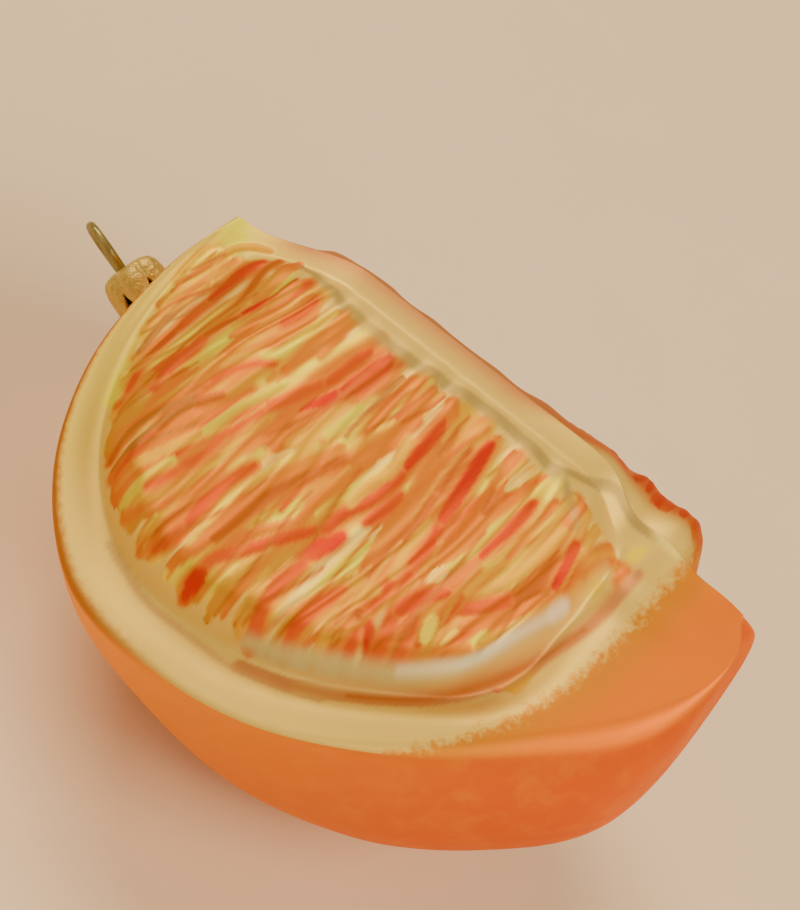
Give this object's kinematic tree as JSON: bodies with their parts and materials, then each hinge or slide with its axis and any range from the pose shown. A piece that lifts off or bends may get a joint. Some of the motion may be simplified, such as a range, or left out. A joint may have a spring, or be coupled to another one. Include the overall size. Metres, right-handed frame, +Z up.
{
  "type": "orange wedge glass ornament",
  "caption": "Blown-glass hanging ornament in the form of a quarter of an orange, with moulded juicy cut faces, a rounded rind, a gold crown cap on its neck and a wire hanging loop.",
  "frame": {"origin": "centre of the small flat spot on the rind that the ornament lies on", "axes": "+Z up, +X along the ridge between the cut faces from the stem end with the cap to the blossom end, -Y to the front, where the shown cut face leans"},
  "size_m": [0.0872, 0.0711, 0.0536],
  "materials": {
    "painted_glass": "pearly lacquer over blown glass",
    "gold_metal": "matte gold, finely crinkled",
    "brass_wire": "dull olive brass"
  },
  "bodies": {
    "root": {"glass_wedge": "painted_glass", "crown_cap": "gold_metal", "wire_loop": "brass_wire"}
  },
  "joints": []
}
